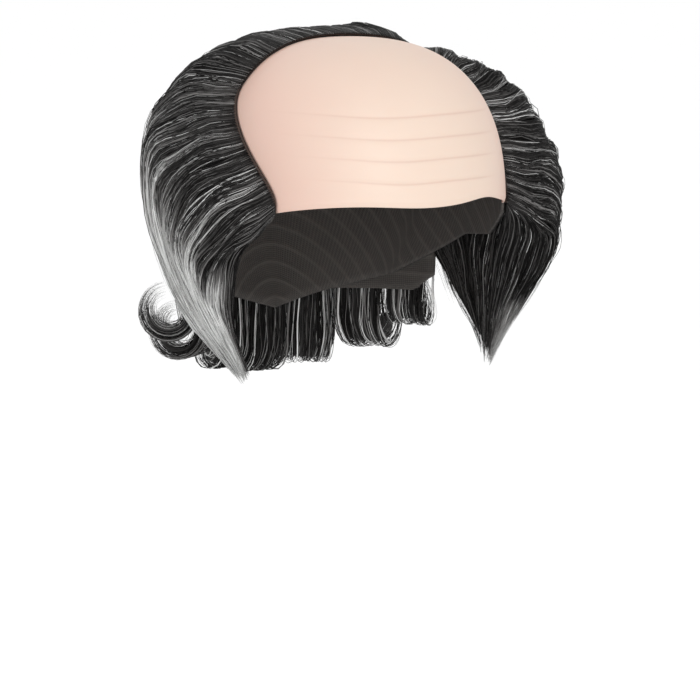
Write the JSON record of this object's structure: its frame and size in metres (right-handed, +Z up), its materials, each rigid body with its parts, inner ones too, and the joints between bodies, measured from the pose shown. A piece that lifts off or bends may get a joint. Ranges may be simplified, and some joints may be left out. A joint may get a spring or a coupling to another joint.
{
  "type": "bald costume wig",
  "caption": "Bald wig with a creased rubber scalp, a sewn cap behind it, swept-back dark and grey hair at the sides and back, and curls at the nape.",
  "frame": {"origin": "middle of the wearer's head in the brow plane, 9.5 mm below the middle of the front hem", "axes": "+Z up along the head, the wearer faces -Y and their right side is -X"},
  "size_m": [0.2348, 0.2257, 0.1942],
  "materials": {
    "scalp_rubber": "satin pink skin-coloured latex",
    "cap_net": "dark stretch net with sewn rows",
    "track_thread": "dark brown stitched track",
    "hair_fibre": "near-black synthetic hair mixed with white and grey"
  },
  "bodies": {
    "root": {"bald_scalp": "scalp_rubber", "wig_cap": "cap_net", "hair_track": "track_thread", "hair_right_side": "hair_fibre", "hair_left_side": "hair_fibre", "hair_back": "hair_fibre", "nape_curls": "hair_fibre"}
  },
  "joints": []
}
